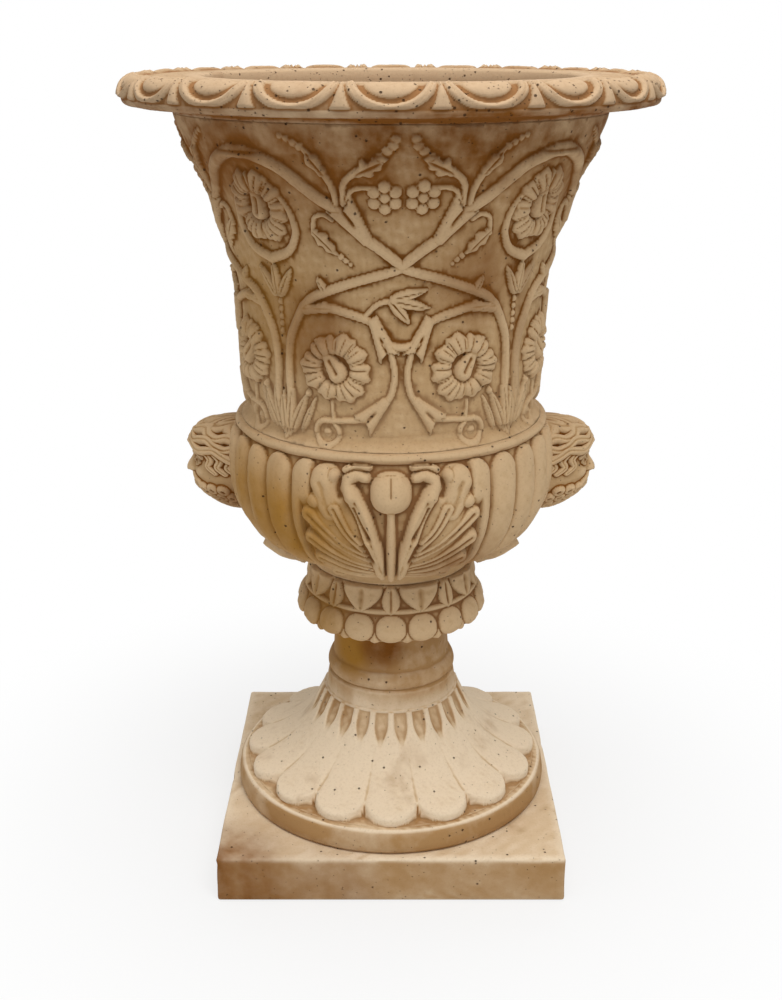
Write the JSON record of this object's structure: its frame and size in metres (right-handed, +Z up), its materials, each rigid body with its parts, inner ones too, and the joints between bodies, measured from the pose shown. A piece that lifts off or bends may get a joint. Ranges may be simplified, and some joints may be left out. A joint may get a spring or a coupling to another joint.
{
  "type": "garden planter",
  "caption": "Free-standing cast concrete planter: bell-shaped vase with relief and egg-and-dart rim on a gadrooned bowl, knop, petalled foot and square plinth.",
  "frame": {"origin": "centre of the plinth's underside, on the ground", "axes": "+Z up along the planter's axis, the leaf on the bowl faces -Y, the heads face -X and +X"},
  "size_m": [0.4908, 0.4908, 0.768],
  "materials": {
    "concrete": "matte",
    "mortar": "matte",
    "galvanised_steel": "satin",
    "bar_steel": "matte",
    "drain_plastic": "matte"
  },
  "bodies": {
    "pedestal": {"plinth": "concrete", "plinth_bars": "bar_steel", "plinth_bed": "mortar", "foot": "concrete", "spigot_pipe": "galvanised_steel"},
    "vase": {"knop": "concrete", "knop_bed": "mortar", "drain_sleeve": "drain_plastic", "bowl": "concrete", "bowl_bed": "mortar", "mask_left": "concrete", "mask_right": "concrete", "mask_pins": "bar_steel", "bell": "concrete", "bell_hoops": "bar_steel", "rim_bed": "mortar", "rim": "concrete", "rim_hoop": "bar_steel"}
  },
  "joints": [
    {"name": "vase_lift", "type": "slide", "parent": "pedestal", "child": "vase", "axis": [0, 0, 1], "range_m": [0, 0.06]}
  ]
}
